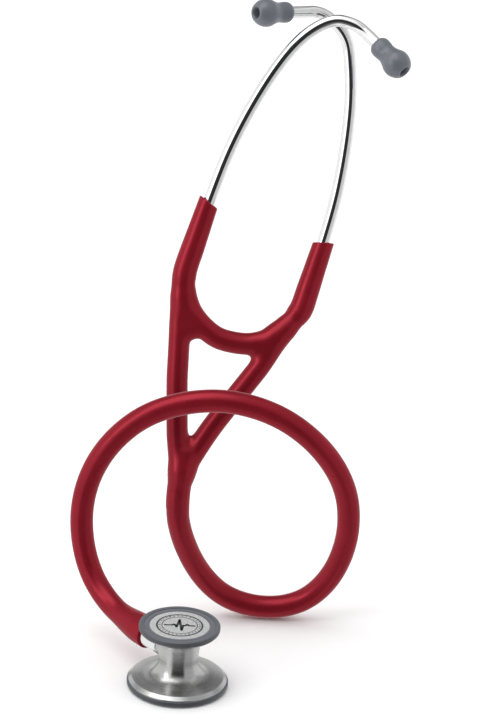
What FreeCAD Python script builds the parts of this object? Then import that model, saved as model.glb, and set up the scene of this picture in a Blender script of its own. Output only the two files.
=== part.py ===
import FreeCAD, Part
import math
import os

# A stethoscope with a two-sided chestpiece, standing on its chestpiece and on the
# lowest bend of its hose. Millimetres. +Z is up and z = 0 is the surface it stands on.
# The origin is the centre of the chestpiece's lower rim. The front is -Y.

Vector = FreeCAD.Vector
UP = Vector(0, 0, 1)

# Fits
RUNNING_GAP = 0.05          # radial gap of a shaft, spigot or spring in its seat
SOCKET_GAP = 0.3            # gap between an arm's ball and its cup

# Chestpiece, radii and heights
ADULT_RIM_R = 22.75
ADULT_FLANGE_R = 22.1
ADULT_SPIGOT_R = 20.9
ADULT_LIP_R = 19.9
ADULT_DIAPHRAGM_R = 20.5
ADULT_CAVITY_R = 19.2
CHILD_RIM_R = 18.25
CHILD_FLANGE_R = 17.4
CHILD_SPIGOT_R = 16.6
CHILD_LIP_R = 15.6
CHILD_DIAPHRAGM_R = 15.9
CHILD_CAVITY_R = 15.0
BADGE_R = 13.35
CHESTPIECE_HEIGHT = 30.0
ADULT_SPIGOT_Z = 1.5        # lower end of the steel body
ADULT_SEAT_Z = 2.8          # underside of the lower flange
CHILD_SEAT_Z = 27.4         # top side of the upper flange
CHILD_SPIGOT_Z = 28.7       # upper end of the steel body
WAIST_R = 8.8               # narrowest radius of the steel body
SPOOL_OUTLINE = [           # radius and height, from the lower flange up to the upper one
    (20.6, 4.7), (18.0, 5.25), (15.4, 5.65), (12.9, 6.1), (10.75, 7.5), (9.4, 9.5),
    (WAIST_R, 12.2), (8.95, 14.5), (9.2, 17.0), (9.45, 19.5), (9.7, 21.6), (10.6, 23.9),
    (12.6, 25.6), (15.0, 26.4), (17.0, 26.7),
]
LIP_THICKNESS = 0.4
SURROUND_THICKNESS = 0.2
DIAPHRAGM_THICKNESS = 0.4
BADGE_THICKNESS = 0.15
SOUND_HOLE_R = 1.5

# Stem: distances are measured from the chestpiece's axis along the stem
STEM_BEARING = 50.0         # degrees that the stem turns from -X towards +Y
STEM_Z = 16.0
STEM_BLIND_END = -5.5
JOURNAL_R = 3.45
BOSS_END = 9.6
BOSS_R = 5.7
COLLAR_START = 9.8
COLLAR_END = 21.0
COLLAR_R = 5.65
BARB_R = 2.45
BARB_END = 33.0
BARB_GROOVE_DEPTH = 0.3
O_RING_AT = 7.2
O_RING_SECTION_R = 0.5
DETENT_AT = 4.2
DETENT_BALL_R = 0.9
DETENT_GROOVE_DEPTH = 0.4
DETENT_POCKET_R = 1.25
DETENT_SPRING_R = 0.75
DETENT_SPRING_WIRE_R = 0.15
DETENT_SPRING_LENGTH = 1.5

# Hose, from the stem to the yoke
HOSE_R = 5.25
HOSE_LUMEN_R = 2.5
HOSE_START = 27.0
CUFF_END = 34.4
CUFF_R = 7.0
CUFF_TIP_R = 5.9

# Headset, in its own plane: across, along and depth, from the foot of the yoke
YOKE_FOOT = Vector(-2.3, 62.0, 82.2)
HEADSET_LEAN_BACK = 20.0
HEADSET_LEAN_RIGHT = 16.1
HEADSET_TURN = 6.0
LEG_R = 4.85
BOW_R = 5.1
YOKE_LUMEN_R = 2.0
CROTCH_ABOVE_HOSE = 5.5
NECK_TOP_R = 5.4
WEB_R = 5.3
PIVOT_ACROSS = 25.9
PIVOT_ALONG = 73.5
ARM_BALL_R = 4.8
CUP_R = 5.0
CUP_RIM_BELOW_PIVOT = 2.5
CUP_LENGTH = 9.0
LEFT_ARM_ACROSS = -27.8
RIGHT_ARM_ACROSS = 28.7
SLEEVE_ELBOW_ALONG = 83.0
SLEEVE_BULGE_ALONG = 92.0
SLEEVE_BULGE_R = 5.35
SLEEVE_TOP_ALONG = 114.6
SLEEVE_TOP_R = 4.7
SLEEVE_CUT_ANGLE = 15.0
CUTTER_SIZE = 30.0
SPRING_WIDTH = 6.0
SPRING_THICKNESS = 0.7

# Ear tubes and ear tips
EARTUBE_R = 2.75
EARTUBE_LUMEN_R = 2.25
EARTUBE_FOOT_ALONG = 93.0
EARTUBE_TIP_LENGTH = 8.5    # how far the tube reaches into the ear tip
FERRULE_R = 3.4
FERRULE_LENGTH = 7.0
ARM_RAKE = 4.0              # degrees that the left arm leans forward and the right arm back
SPREAD_TILT = 12.0          # degrees that the arms' hinge axes turn, so that the ear tips pass
EARTIP_LENGTH = 19.5
EARTIP_OUTLINE = [          # radius and height, from the rear bead to the front
    (3.9, 0), (4.55, 0.8), (4.8, 2.6), (4.65, 4.6), (4.35, 6.8), (4.7, 8.6), (5.75, 10.8),
    (6.4, 13.2), (6.1, 16.0), (4.9, 18.4), (3.7, EARTIP_LENGTH),
]
EARTIP_SOCKET_DEPTH = 10.0

STEM_DIRECTION = Vector(
    -math.cos(math.radians(STEM_BEARING)), math.sin(math.radians(STEM_BEARING)), 0
)
STEM_SIDE = Vector(
    math.sin(math.radians(STEM_BEARING)), math.cos(math.radians(STEM_BEARING)), 0
)


def on_stem(distance):
    """The point of the stem's axis at a distance from the chestpiece's axis."""
    return STEM_DIRECTION * distance + UP * STEM_Z


# The hose leaves the cuff, turns up, goes over in front of the yoke's legs, comes down to
# the floor behind the chestpiece and rises to the yoke.
HOSE_ROUTE = [
    on_stem(HOSE_START),
    on_stem(41),
    Vector(-35.5, 42, 20),
    Vector(-43, 49.5, 29),
    Vector(-47.5, 54, 43),
    Vector(-48.3, 56.3, 60),
    Vector(-44, 57, 77.5),
    Vector(-34.5, 57, 93.5),
    Vector(-20, 57, 106.5),
    Vector(-1, 57, 113.7),
    Vector(19.5, 57, 115),
    Vector(42, 57.5, 108),
    Vector(61, 59, 92.5),
    Vector(73, 61.5, 72),
    Vector(75.5, 64, 49),
    Vector(70.5, 66.7, 27.5),
    Vector(60, 69, 12),
    Vector(46.5, 70, HOSE_R),
    Vector(31, 70, HOSE_R),
    Vector(17, 69.3, 11),
    Vector(6, 66.8, 24),
    Vector(-1.8, 62, 42.5),
    Vector(-5, 57.6, 60),
    Vector(-3.8, 59, 72),
]


# ---------------------------------------------------------------- shape helpers


def rounded_path(points):
    """Straight runs joined by tangent arcs that are as large as the runs allow."""
    edges = []
    radii = []
    start = points[0]
    for before, corner, after in zip(points, points[1:], points[2:]):
        run_in = corner - before
        run_out = after - corner
        cut = 0.45 * min(run_in.Length, run_out.Length)
        half_turn = run_in.getAngle(run_out) / 2
        radii.append(cut / math.tan(half_turn))
        arc_start = corner - run_in.normalize() * cut
        arc_end = corner + run_out.normalize() * cut
        inward = (arc_start + arc_end) * 0.5 - corner
        sagitta = radii[-1] / math.cos(half_turn) - radii[-1]
        arc_middle = corner + inward.normalize() * sagitta
        edges.append(Part.LineSegment(start, arc_start).toShape())
        edges.append(Part.Arc(arc_start, arc_middle, arc_end).toShape())
        start = arc_end
    edges.append(Part.LineSegment(start, points[-1]).toShape())
    return Part.Wire(edges), radii


def circle_wire(centre, axis, radius):
    return Part.Wire(Part.makeCircle(radius, centre, axis))


def pipe(points, radius):
    """A round bar along a rounded path."""
    path, _ = rounded_path(points)
    profile = circle_wire(points[0], points[1] - points[0], radius)
    return path.makePipeShell([profile], True, False)


def bar(start, end, radius):
    """A straight round bar between two points."""
    return Part.makeCylinder(radius, (end - start).Length, start, end - start)


def taper(start, end, start_radius, end_radius):
    """A straight cone between two points."""
    return Part.makeCone(start_radius, end_radius, (end - start).Length, start, end - start)


def turned(outline):
    """A solid turned about Z from a closed outline of edges in the XZ plane."""
    face = Part.Face(Part.Wire(outline))
    return face.revolve(Vector(0, 0, 0), UP, 360)


def outline_of(pairs):
    """Straight edges through radius and height pairs, closed."""
    corners = [Vector(radius, 0, height) for radius, height in pairs]
    return [
        Part.LineSegment(a, b).toShape()
        for a, b in zip(corners, corners[1:] + corners[:1])
    ]


def ring(inner, outer, bottom, top):
    """A flat ring about Z."""
    return turned(outline_of([(inner, bottom), (outer, bottom), (outer, top), (inner, top)]))


def lay_along(shape, start, direction):
    """Moves a shape built on Z so that it starts at a point and follows a direction."""
    shape = shape.copy()
    shape.Placement = FreeCAD.Placement(start, FreeCAD.Rotation(UP, direction))
    return shape


def only_solid(shape):
    """The one solid of a result, with its seams merged."""
    shape = shape.removeSplitter()
    assert len(shape.Solids) == 1, len(shape.Solids)
    return shape.Solids[0]


# ---------------------------------------------------------------- chestpiece


def chestpiece_profile():
    """Half outline of the turned steel body, from its lower end up the outside and back."""
    spool = Part.BSplineCurve()
    spool.interpolate([Vector(radius, 0, height) for radius, height in SPOOL_OUTLINE])
    corners = [
        Vector(0, 0, 4.6),
        Vector(SOUND_HOLE_R + 0.5, 0, 4.6),
        Vector(ADULT_CAVITY_R, 0, ADULT_SPIGOT_Z),
        Vector(ADULT_SPIGOT_R, 0, ADULT_SPIGOT_Z),
        Vector(ADULT_SPIGOT_R, 0, ADULT_SEAT_Z),
        Vector(ADULT_FLANGE_R, 0, ADULT_SEAT_Z),
        Vector(ADULT_FLANGE_R, 0, ADULT_SEAT_Z + 0.5),
        spool.StartPoint,
    ]
    edges = [Part.LineSegment(a, b).toShape() for a, b in zip(corners, corners[1:])]
    edges.append(spool.toShape())
    corners = [
        spool.EndPoint,
        Vector(CHILD_FLANGE_R, 0, CHILD_SEAT_Z - 0.4),
        Vector(CHILD_FLANGE_R, 0, CHILD_SEAT_Z),
        Vector(CHILD_SPIGOT_R, 0, CHILD_SEAT_Z),
        Vector(CHILD_SPIGOT_R, 0, CHILD_SPIGOT_Z),
        Vector(CHILD_CAVITY_R, 0, CHILD_SPIGOT_Z),
        Vector(SOUND_HOLE_R + 0.5, 0, 26.4),
        Vector(0, 0, 26.4),
        Vector(0, 0, 4.6),
    ]
    edges += [Part.LineSegment(a, b).toShape() for a, b in zip(corners, corners[1:])]
    return edges


def chestpiece_body():
    """Steel spool with a shallow bell on each side, a cross bore and a detent pocket."""
    body = turned(chestpiece_profile())
    body = body.fuse(bar(on_stem(WAIST_R / 2), on_stem(BOSS_END), BOSS_R))
    cross_bore = bar(on_stem(STEM_BLIND_END), on_stem(BOSS_END + 1), JOURNAL_R + RUNNING_GAP)
    sound_hole = Part.makeCylinder(SOUND_HOLE_R, CHESTPIECE_HEIGHT)
    pocket_start = on_stem(DETENT_AT)
    pocket = bar(pocket_start, pocket_start + STEM_SIDE * WAIST_R, DETENT_POCKET_R)
    return only_solid(body.cut(cross_bore).cut(sound_hole).cut(pocket))


def adult_rim():
    """Soft ring that snaps over the lower spigot and holds the diaphragm by its lip."""
    edge = 0.5
    return turned(
        outline_of(
            [
                (ADULT_LIP_R, 0),
                (ADULT_RIM_R - edge, 0),
                (ADULT_RIM_R, edge),
                (ADULT_RIM_R, ADULT_SEAT_Z - edge),
                (ADULT_RIM_R - edge, ADULT_SEAT_Z),
                (ADULT_SPIGOT_R + RUNNING_GAP, ADULT_SEAT_Z),
                (ADULT_SPIGOT_R + RUNNING_GAP, LIP_THICKNESS),
                (ADULT_LIP_R, LIP_THICKNESS),
            ]
        )
    )


def adult_surround():
    """Thin soft washer between the lip and the diaphragm."""
    return ring(ADULT_LIP_R + 0.05, ADULT_SPIGOT_R, LIP_THICKNESS, LIP_THICKNESS + SURROUND_THICKNESS)


def adult_diaphragm():
    bottom = LIP_THICKNESS + SURROUND_THICKNESS
    return Part.makeCylinder(ADULT_DIAPHRAGM_R, DIAPHRAGM_THICKNESS, Vector(0, 0, bottom))


def child_rim():
    """Soft ring that snaps over the upper spigot, with rounded outer edges."""
    edge = 0.7
    top = CHESTPIECE_HEIGHT
    return turned(
        outline_of(
            [
                (CHILD_SPIGOT_R + RUNNING_GAP, CHILD_SEAT_Z),
                (CHILD_RIM_R - edge, CHILD_SEAT_Z),
                (CHILD_RIM_R, CHILD_SEAT_Z + edge),
                (CHILD_RIM_R, top - edge),
                (CHILD_RIM_R - edge, top),
                (CHILD_LIP_R, top),
                (CHILD_LIP_R, top - LIP_THICKNESS),
                (CHILD_SPIGOT_R + RUNNING_GAP, top - LIP_THICKNESS),
            ]
        )
    )


def child_surround():
    """Soft washer between the badge and the rim, under the rim's lip."""
    top = CHESTPIECE_HEIGHT - LIP_THICKNESS
    return ring(BADGE_R + 0.1, CHILD_SPIGOT_R, top - SURROUND_THICKNESS, top)


def child_diaphragm():
    top = CHESTPIECE_HEIGHT - LIP_THICKNESS - SURROUND_THICKNESS
    bottom = top - DIAPHRAGM_THICKNESS
    return Part.makeCylinder(CHILD_DIAPHRAGM_R, DIAPHRAGM_THICKNESS, Vector(0, 0, bottom))


def child_badge():
    """Plain metal disc on the diaphragm."""
    bottom = CHESTPIECE_HEIGHT - LIP_THICKNESS - SURROUND_THICKNESS
    return Part.makeCylinder(BADGE_R, BADGE_THICKNESS, Vector(0, 0, bottom))


# ---------------------------------------------------------------- stem and detent


def stem():
    """Journal, collar and barb in one turned piece, with a sound port that faces down."""
    journal = bar(on_stem(STEM_BLIND_END + 0.2), on_stem(COLLAR_START), JOURNAL_R)
    chamfer = 0.5
    collar = bar(on_stem(COLLAR_START + chamfer), on_stem(COLLAR_END - chamfer), COLLAR_R)
    lead_in = taper(
        on_stem(COLLAR_START), on_stem(COLLAR_START + chamfer), COLLAR_R - chamfer, COLLAR_R
    )
    lead_out = taper(
        on_stem(COLLAR_END - chamfer), on_stem(COLLAR_END), COLLAR_R, COLLAR_R - chamfer
    )
    barb = bar(on_stem(COLLAR_END), on_stem(BARB_END), BARB_R)
    shape = journal.fuse([collar, lead_in, lead_out, barb])
    for distance in (24, 28, 31):
        shape = shape.cut(stem_groove(distance, 0.8, BARB_R - BARB_GROOVE_DEPTH, BARB_R + 1))
    shape = shape.cut(stem_groove(O_RING_AT, 1.2, JOURNAL_R - 1, JOURNAL_R + 1))
    groove_width = 1.8
    groove_floor = JOURNAL_R - DETENT_GROOVE_DEPTH
    shape = shape.cut(stem_groove(DETENT_AT, groove_width, groove_floor, JOURNAL_R + 1))
    port_start = on_stem(-SOUND_HOLE_R)
    shape = shape.cut(bar(port_start, on_stem(BARB_END + 1), SOUND_HOLE_R))
    return only_solid(shape.cut(bar(on_stem(0), on_stem(0) - UP * (JOURNAL_R + 1), SOUND_HOLE_R)))


def stem_groove(distance, width, floor_radius, outer_radius):
    """The ring-shaped space of a groove around the stem."""
    start = on_stem(distance - width / 2)
    end = on_stem(distance + width / 2)
    return bar(start, end, outer_radius).cut(bar(start, end, floor_radius))


def stem_o_ring():
    """Seal between the journal and the chestpiece."""
    centre_radius = JOURNAL_R - O_RING_SECTION_R
    return Part.makeTorus(centre_radius, O_RING_SECTION_R, on_stem(O_RING_AT), STEM_DIRECTION)


def detent_point(offset):
    """A point of the detent pocket's axis, measured from the stem's axis."""
    return on_stem(DETENT_AT) + STEM_SIDE * offset


BALL_OFFSET = JOURNAL_R - DETENT_GROOVE_DEPTH + DETENT_BALL_R + 0.02
SPRING_OFFSET = BALL_OFFSET + DETENT_BALL_R + 0.05
SCREW_OFFSET = SPRING_OFFSET + DETENT_SPRING_LENGTH + 2 * DETENT_SPRING_WIRE_R


def detent_ball():
    return Part.makeSphere(DETENT_BALL_R, detent_point(BALL_OFFSET))


def detent_spring():
    """Three-turn coil spring behind the ball."""
    pitch = DETENT_SPRING_LENGTH / 3
    helix = Part.makeHelix(pitch, DETENT_SPRING_LENGTH, DETENT_SPRING_R)
    start = Vector(DETENT_SPRING_R, 0, 0)
    profile = circle_wire(start, Vector(0, 1, 0), DETENT_SPRING_WIRE_R)
    coil = Part.Wire(helix).makePipeShell([profile], True, True)
    foot = detent_point(SPRING_OFFSET + DETENT_SPRING_WIRE_R)
    return lay_along(coil, foot, STEM_SIDE)


def detent_screw():
    """Slotted set screw that closes the pocket, flush with the neck."""
    length = 1.3
    slot_width = 0.5
    slot_depth = 0.5
    radius = DETENT_POCKET_R - RUNNING_GAP
    screw = Part.makeCylinder(radius, length)
    slot = Part.makeBox(
        3 * radius, slot_width, slot_depth,
        Vector(-1.5 * radius, -slot_width / 2, length - slot_depth),
    )
    return lay_along(screw.cut(slot), detent_point(SCREW_OFFSET), STEM_SIDE)


# ---------------------------------------------------------------- hose


def acoustic_hose():
    """Hose from the cuff to the yoke, with its sound lumen."""
    return only_solid(pipe(HOSE_ROUTE, HOSE_R).cut(pipe(HOSE_ROUTE, HOSE_LUMEN_R)))


def hose_cuff():
    """Swollen end of the hose: round the barb first, then round the hose."""
    straight_end = on_stem(24)
    outside = bar(on_stem(COLLAR_END), straight_end, CUFF_R)
    outside = outside.fuse(taper(straight_end, on_stem(CUFF_END), CUFF_R, CUFF_TIP_R))
    outside = outside.cut(bar(on_stem(COLLAR_END - 1), on_stem(HOSE_START), HOSE_LUMEN_R))
    outside = outside.cut(bar(on_stem(HOSE_START), on_stem(CUFF_END + 1), HOSE_R + RUNNING_GAP))
    return only_solid(outside)


# ---------------------------------------------------------------- headset


def flat(across, along, depth=0.0):
    """A point in the headset's own frame; depth grows towards the back."""
    return Vector(across, depth, along)


HEADSET_PLACEMENT = FreeCAD.Placement(
    YOKE_FOOT,
    FreeCAD.Rotation(Vector(1, 0, 0), -HEADSET_LEAN_BACK)
    * FreeCAD.Rotation(Vector(0, 1, 0), HEADSET_LEAN_RIGHT)
    * FreeCAD.Rotation(UP, HEADSET_TURN),
)

BOW_ROUTE = [
    flat(-21.5, 67.5),
    flat(-12.5, 59.6),
    flat(0, 57.3),
    flat(12.5, 59.6),
    flat(21.5, 67.5),
]


# The legs run from the crotch to the arms' pivots. The two sides differ a little, and the
# ear tubes as well, which were bent by hand.
CROTCH = HEADSET_PLACEMENT.inverse().multVec(
    HOSE_ROUTE[-1] + (HOSE_ROUTE[-1] - HOSE_ROUTE[-2]).normalize() * CROTCH_ABOVE_HOSE
)
LEFT_LEG_ROUTE = [
    CROTCH,
    flat(-3.2, 1.2),
    flat(-14.3, 32.2),
    flat(-20.6, 53),
    flat(-25.1, PIVOT_ALONG - CUP_RIM_BELOW_PIVOT),
]
RIGHT_LEG_ROUTE = [
    CROTCH,
    flat(4.4, 10.5),
    flat(18.9, 52.5),
    flat(24.9, PIVOT_ALONG - CUP_RIM_BELOW_PIVOT),
]
LEFT_EARTUBE_ROUTE = [
    flat(LEFT_ARM_ACROSS, EARTUBE_FOOT_ALONG),
    flat(LEFT_ARM_ACROSS, 127),
    flat(-25.7, 152),
    flat(-20.4, 178.5),
    flat(-13.4, 198.5),
    flat(-2.9, 211.5, -0.4),
    flat(8.0, 213.0, -1.7),
    flat(15.8, 209.8, -4.0),
    flat(19.6, 207.8, -6.4),
]
RIGHT_EARTUBE_ROUTE = [
    flat(RIGHT_ARM_ACROSS, EARTUBE_FOOT_ALONG),
    flat(RIGHT_ARM_ACROSS, 125),
    flat(25.9, 152),
    flat(20.8, 178),
    flat(14.9, 195),
    flat(8.7, 208.4, -0.4),
    flat(-5.3, 214.8, -1.6),
    flat(-15.5, 210.6, -4.2),
    flat(-20.0, 208.6, -6.9),
]


def in_place(shape):
    """Stands a shape of the headset's own frame where the headset is."""
    shape = shape.copy()
    shape.Placement = HEADSET_PLACEMENT.multiply(shape.Placement)
    return shape


def leg_route(side):
    return LEFT_LEG_ROUTE if side < 0 else RIGHT_LEG_ROUTE


def pivot(side):
    return flat(side * PIVOT_ACROSS, PIVOT_ALONG)


def leg_end_direction(side):
    """The way that the top of a leg points."""
    return (pivot(side) - leg_route(side)[-2]).normalize()


def yoke_body():
    """Moulded yoke: two hollow legs, the bow between them and the neck of the hose."""
    neck_end = HEADSET_PLACEMENT.inverse().multVec(HOSE_ROUTE[-1])
    web = flat(-0.4, 2.6)
    solid = taper(neck_end, CROTCH, HOSE_R, NECK_TOP_R)
    solid = solid.fuse(Part.makeSphere(NECK_TOP_R, CROTCH))
    solid = solid.fuse(Part.makeSphere(WEB_R, web))
    for side in (-1, 1):
        solid = solid.fuse(pipe(leg_route(side), LEG_R))
        solid = solid.fuse(cup_blank(side))
    solid = solid.fuse(pipe(BOW_ROUTE, BOW_R))
    solid = solid.cut(bar(neck_end, CROTCH, HOSE_LUMEN_R))
    for side in (-1, 1):
        solid = solid.cut(pipe(leg_route(side), YOKE_LUMEN_R))
        solid = solid.cut(Part.makeSphere(ARM_BALL_R + SOCKET_GAP, pivot(side)))
    solid = solid.cut(spring_strip(RUNNING_GAP))
    return in_place(only_solid(solid))


def cup_blank(side):
    """The round end of a leg, in which the arm's cup is cut."""
    direction = leg_end_direction(side)
    top = pivot(side) - direction * CUP_RIM_BELOW_PIVOT
    return bar(top - direction * CUP_LENGTH, top, CUP_R)


def spring_strip(gap):
    """Steel strip along the bow, or the space for it when gap is more than 0."""
    route = [BOW_ROUTE[0] * 0.75 + BOW_ROUTE[1] * 0.25] + BOW_ROUTE[1:-1]
    route.append(BOW_ROUTE[-1] * 0.75 + BOW_ROUTE[-2] * 0.25)
    path, _ = rounded_path(route)
    along = (route[1] - route[0]).normalize()
    across = along.cross(Vector(0, 1, 0)) * (SPRING_THICKNESS / 2 + gap)
    wide = Vector(0, 1, 0) * (SPRING_WIDTH / 2 + gap)
    start = route[0] - along * gap
    corners = [start + across + wide, start + across - wide, start - across - wide, start - across + wide]
    profile = Part.makePolygon(corners + corners[:1])
    edges = [Part.LineSegment(start, route[0]).toShape()] if gap else []
    if gap:
        far = (route[-1] - route[-2]).normalize() * gap
        edges = edges + path.Edges + [Part.LineSegment(route[-1], route[-1] + far).toShape()]
        path = Part.Wire(edges)
    return path.makePipeShell([profile], True, False)


def leaf_spring():
    return in_place(spring_strip(0))


def arm_placement(side):
    """The left arm (-1) leans forward about its pivot and the right arm leans back."""
    tilt = FreeCAD.Placement(
        Vector(0, 0, 0), FreeCAD.Rotation(Vector(1, 0, 0), -side * ARM_RAKE), pivot(side)
    )
    return HEADSET_PLACEMENT.multiply(tilt)


def in_arm_place(shape, side):
    shape = shape.copy()
    shape.Placement = arm_placement(side).multiply(shape.Placement)
    return shape


def arm_sleeve(side):
    """Moulded arm: a ball in the yoke's cup, an elbow and a straight grip on the ear tube."""
    across = LEFT_ARM_ACROSS if side < 0 else RIGHT_ARM_ACROSS
    elbow = flat(across, SLEEVE_ELBOW_ALONG)
    bulge = flat(across, SLEEVE_BULGE_ALONG)
    top = flat(across, SLEEVE_TOP_ALONG + 2)
    shoulder = pivot(side) * 0.6 + elbow * 0.4
    solid = Part.makeSphere(ARM_BALL_R, pivot(side))
    solid = solid.fuse(bar(pivot(side), shoulder, ARM_BALL_R))
    solid = solid.fuse(taper(shoulder, elbow, ARM_BALL_R, SLEEVE_BULGE_R))
    solid = solid.fuse(Part.makeSphere(SLEEVE_BULGE_R, elbow))
    solid = solid.fuse(bar(elbow, bulge, SLEEVE_BULGE_R))
    solid = solid.fuse(taper(bulge, top, SLEEVE_BULGE_R, SLEEVE_TOP_R))
    foot = flat(across, EARTUBE_FOOT_ALONG)
    solid = solid.cut(bar(foot, top + UP, EARTUBE_R + RUNNING_GAP))
    lumen_foot = pivot(side) - leg_end_direction(side) * (ARM_BALL_R + 1)
    lumen_top = flat(across, EARTUBE_FOOT_ALONG + 2)
    solid = solid.cut(pipe([lumen_foot, pivot(side), elbow, lumen_top], YOKE_LUMEN_R))
    cutter_corner = Vector(-CUTTER_SIZE / 2, -CUTTER_SIZE / 2, 0)
    cutter = Part.makeBox(CUTTER_SIZE, CUTTER_SIZE, CUTTER_SIZE, cutter_corner)
    cutter.Placement = FreeCAD.Placement(
        flat(across, SLEEVE_TOP_ALONG),
        FreeCAD.Rotation(Vector(0, 1, 0), -side * SLEEVE_CUT_ANGLE),
    )
    return in_arm_place(only_solid(solid.cut(cutter)), side)


def eartube_route(side):
    """Up out of the sleeve, inwards across the middle and forward to the ear tip."""
    return LEFT_EARTUBE_ROUTE if side < 0 else RIGHT_EARTUBE_ROUTE


def eartip_direction(side):
    route = eartube_route(side)
    return (route[-1] - route[-2]).normalize()


def eartube(side):
    """Bent metal tube with a thin wall."""
    end = eartube_route(side)[-1] + eartip_direction(side) * EARTUBE_TIP_LENGTH
    route = eartube_route(side)[:-1] + [end]
    return in_arm_place(only_solid(pipe(route, EARTUBE_R).cut(pipe(route, EARTUBE_LUMEN_R))), side)


def eartip_ferrule(side):
    """Grooved sleeve on the end of the ear tube that the ear tip pushes over."""
    direction = eartip_direction(side)
    start = eartube_route(side)[-1] + direction * (EARTUBE_TIP_LENGTH - FERRULE_LENGTH)
    end = start + direction * FERRULE_LENGTH
    shape = bar(start, end, FERRULE_R)
    for distance in (1.5, 3.5, 5.5):
        middle = start + direction * distance
        groove = bar(middle, middle + direction * 0.6, FERRULE_R + 1)
        shape = shape.cut(groove.cut(bar(middle, middle + direction * 0.6, FERRULE_R - 0.25)))
    return in_arm_place(only_solid(shape.cut(bar(start, end, EARTUBE_R))), side)


def eartip(side):
    """Soft ear tip: rear bead, waist, bulb and an open front."""
    outside = Part.BSplineCurve()
    outside.interpolate([Vector(radius, 0, height) for radius, height in EARTIP_OUTLINE])
    socket_r = FERRULE_R + RUNNING_GAP
    inside = [
        (3.7, EARTIP_LENGTH),
        (2.5, EARTIP_LENGTH - 0.4),
        (1.7, EARTIP_LENGTH - 3.0),
        (1.7, EARTIP_SOCKET_DEPTH),
        (socket_r, EARTIP_SOCKET_DEPTH),
        (socket_r, 0),
        (3.9, 0),
    ]
    corners = [Vector(radius, 0, height) for radius, height in inside]
    edges = [outside.toShape()]
    edges += [Part.LineSegment(a, b).toShape() for a, b in zip(corners, corners[1:])]
    tip = lay_along(turned(edges), eartube_route(side)[-1], eartip_direction(side))
    return in_arm_place(tip, side)


# ---------------------------------------------------------------- all nodes


def report_hose():
    """Prints the hose's bends and compares its volume with its section times its length."""
    path, radii = rounded_path(HOSE_ROUTE)
    print("hose length", round(path.Length, 1))
    print("hose bend radii", [round(radius, 1) for radius in radii])
    section = math.pi * (HOSE_R**2 - HOSE_LUMEN_R**2)
    volume = acoustic_hose().Volume
    print("hose volume", round(volume, 1), "section x length", round(section * path.Length, 1))


def main():
    os.makedirs("parts", exist_ok=True)
    nodes = {
        "chestpiece_body": chestpiece_body(),
        "adult_rim": adult_rim(),
        "adult_surround": adult_surround(),
        "adult_diaphragm": adult_diaphragm(),
        "child_rim": child_rim(),
        "child_surround": child_surround(),
        "child_diaphragm": child_diaphragm(),
        "child_badge": child_badge(),
        "stem": stem(),
        "stem_o_ring": stem_o_ring(),
        "detent_ball": detent_ball(),
        "detent_spring": detent_spring(),
        "detent_screw": detent_screw(),
        "hose_cuff": hose_cuff(),
        "acoustic_hose": acoustic_hose(),
        "yoke_body": yoke_body(),
        "leaf_spring": leaf_spring(),
    }
    for name, side in (("left", -1), ("right", 1)):
        nodes["arm_sleeve_" + name] = arm_sleeve(side)
        nodes["eartube_" + name] = eartube(side)
        nodes["eartip_ferrule_" + name] = eartip_ferrule(side)
        nodes["eartip_" + name] = eartip(side)
    for name, shape in nodes.items():
        assert shape.isValid(), name
        shape.exportStep("parts/" + name + ".step")
        print(name, "volume", round(shape.Volume, 1), "solids", len(shape.Solids))
    report_hose()
    for side in (-1, 1):
        place = arm_placement(side)
        print("pivot", side, HEADSET_PLACEMENT.multVec(pivot(side)))
        print("ear tip axis", side, place.Rotation.multVec(eartip_direction(side)))
    tilt = math.radians(SPREAD_TILT)
    hinge = flat(-math.sin(tilt), 0, math.cos(tilt))
    print("right arm's hinge axis", HEADSET_PLACEMENT.Rotation.multVec(hinge))


main()
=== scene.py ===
import math

import bmesh
import bpy
import numpy as np
from mathutils import Matrix, Vector


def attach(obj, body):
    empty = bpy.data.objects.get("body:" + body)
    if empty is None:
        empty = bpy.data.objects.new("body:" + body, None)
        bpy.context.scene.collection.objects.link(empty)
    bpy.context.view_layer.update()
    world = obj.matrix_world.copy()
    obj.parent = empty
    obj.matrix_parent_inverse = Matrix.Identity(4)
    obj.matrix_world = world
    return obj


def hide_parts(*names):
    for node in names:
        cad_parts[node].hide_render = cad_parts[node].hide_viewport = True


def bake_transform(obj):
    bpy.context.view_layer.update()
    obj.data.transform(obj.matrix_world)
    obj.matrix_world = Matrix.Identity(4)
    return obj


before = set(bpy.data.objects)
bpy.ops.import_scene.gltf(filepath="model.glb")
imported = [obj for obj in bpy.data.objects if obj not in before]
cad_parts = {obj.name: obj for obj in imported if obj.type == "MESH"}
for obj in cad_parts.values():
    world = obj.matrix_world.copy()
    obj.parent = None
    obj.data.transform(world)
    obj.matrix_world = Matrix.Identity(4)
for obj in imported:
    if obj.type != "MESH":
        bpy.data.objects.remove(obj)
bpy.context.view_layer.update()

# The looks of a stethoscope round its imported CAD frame. Metres in the scene; the shapes
# below are written in millimetres and scaled by MM. +Z is up and the front is -Y.

MM = 0.001
ROOT = "headset_and_hose"
SIDES = ((-1, "left"), (1, "right"))

# Sizes that the CAD part has too, in millimetres and degrees
STEM_BEARING = 50.0
STEM_Z = 16.0
COLLAR_END = 21.0
HOSE_START = 27.0
HOSE_R = 5.25
CUFF_R = 7.0
YOKE_FOOT = (-2.3, 62.0, 82.2)
HEADSET_LEAN_BACK = 20.0
HEADSET_LEAN_RIGHT = 16.1
HEADSET_TURN = 6.0
PIVOT_ACROSS = 25.9
PIVOT_ALONG = 73.5
RIGHT_SLEEVE_TOP_ALONG = 114.6
RIGHT_SLEEVE_CUT_ANGLE = 15.0
ARM_RAKE = 4.0
EARTUBE_R = 2.75
EARTUBE_FOOT_ALONG = 93.0
EARTUBE_TIP_LENGTH = 8.5
LEFT_ARM_ACROSS = -27.8
RIGHT_ARM_ACROSS = 28.7

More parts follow.
